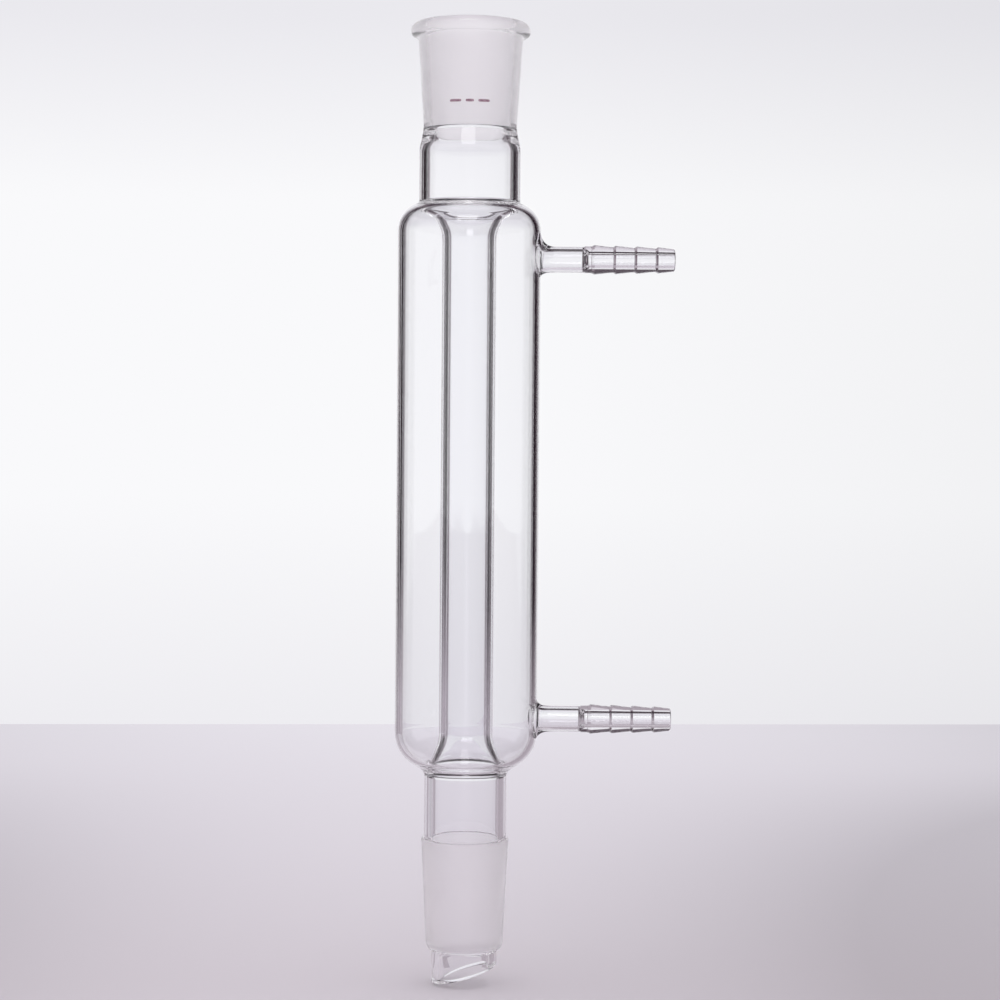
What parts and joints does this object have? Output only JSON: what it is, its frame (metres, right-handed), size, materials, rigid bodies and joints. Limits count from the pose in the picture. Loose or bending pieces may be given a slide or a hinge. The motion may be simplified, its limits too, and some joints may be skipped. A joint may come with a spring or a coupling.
{
  "type": "straight condenser",
  "caption": "Straight water-cooled glass condenser: ground socket with rolled rim, jacket with barbed hose arms, inner tube, ground cone and slant-cut drip tip.",
  "frame": {"origin": "centre of the lower cone's wide end, on the tube axis", "axes": "+Z along the tube axis towards the socket, +X along the hose arms"},
  "size_m": [0.076, 0.0392, 0.2636],
  "materials": {
    "borosilicate_glass": "clear, ground matt on the cone and inside the socket"
  },
  "bodies": {
    "root": {"condenser_glass": "borosilicate_glass"}
  },
  "joints": []
}
